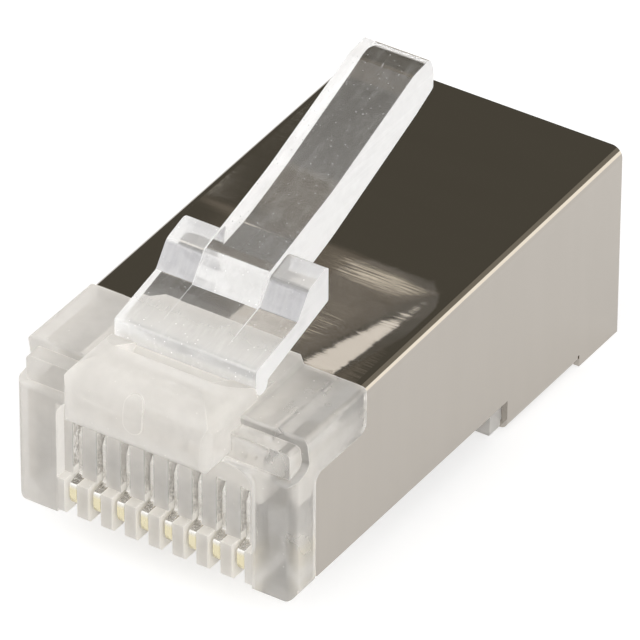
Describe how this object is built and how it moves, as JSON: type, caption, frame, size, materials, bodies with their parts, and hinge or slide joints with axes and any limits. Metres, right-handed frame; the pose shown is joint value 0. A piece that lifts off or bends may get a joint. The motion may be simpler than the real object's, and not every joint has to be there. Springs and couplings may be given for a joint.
{
  "type": "rj45 modular plug",
  "caption": "Shielded modular plug: clear housing with a comb of gold contact blades, a folded metal shield and a springy release latch; open at the rear for the cable.",
  "frame": {"origin": "centre of the bounding box, on the underside of the rear body", "axes": "+Y from the nose towards the cable end, +Z from the contact side up to the latch, +X across the plug; the plug goes into its jack along -Y"},
  "size_m": [0.0118, 0.0233, 0.0138],
  "materials": {
    "clear_plastic": "clear, glossy",
    "nickel_sheet": "bright nickel plating",
    "gold_contact": "gold plated"
  },
  "bodies": {
    "plug": {"housing": "clear_plastic", "shield": "nickel_sheet", "contact_1": "gold_contact", "contact_2": "gold_contact", "contact_3": "gold_contact", "contact_4": "gold_contact", "contact_5": "gold_contact", "contact_6": "gold_contact", "contact_7": "gold_contact", "contact_8": "gold_contact"},
    "latch": {"latch": "clear_plastic"}
  },
  "joints": [
    {"name": "latch_flex", "type": "hinge", "parent": "plug", "child": "latch", "pos_m": [0, -0.00795, 0.0081], "axis": [-1, 0, 0], "range_deg": [0, 12], "stiffness_Nm_per_rad": 0.05}
  ]
}
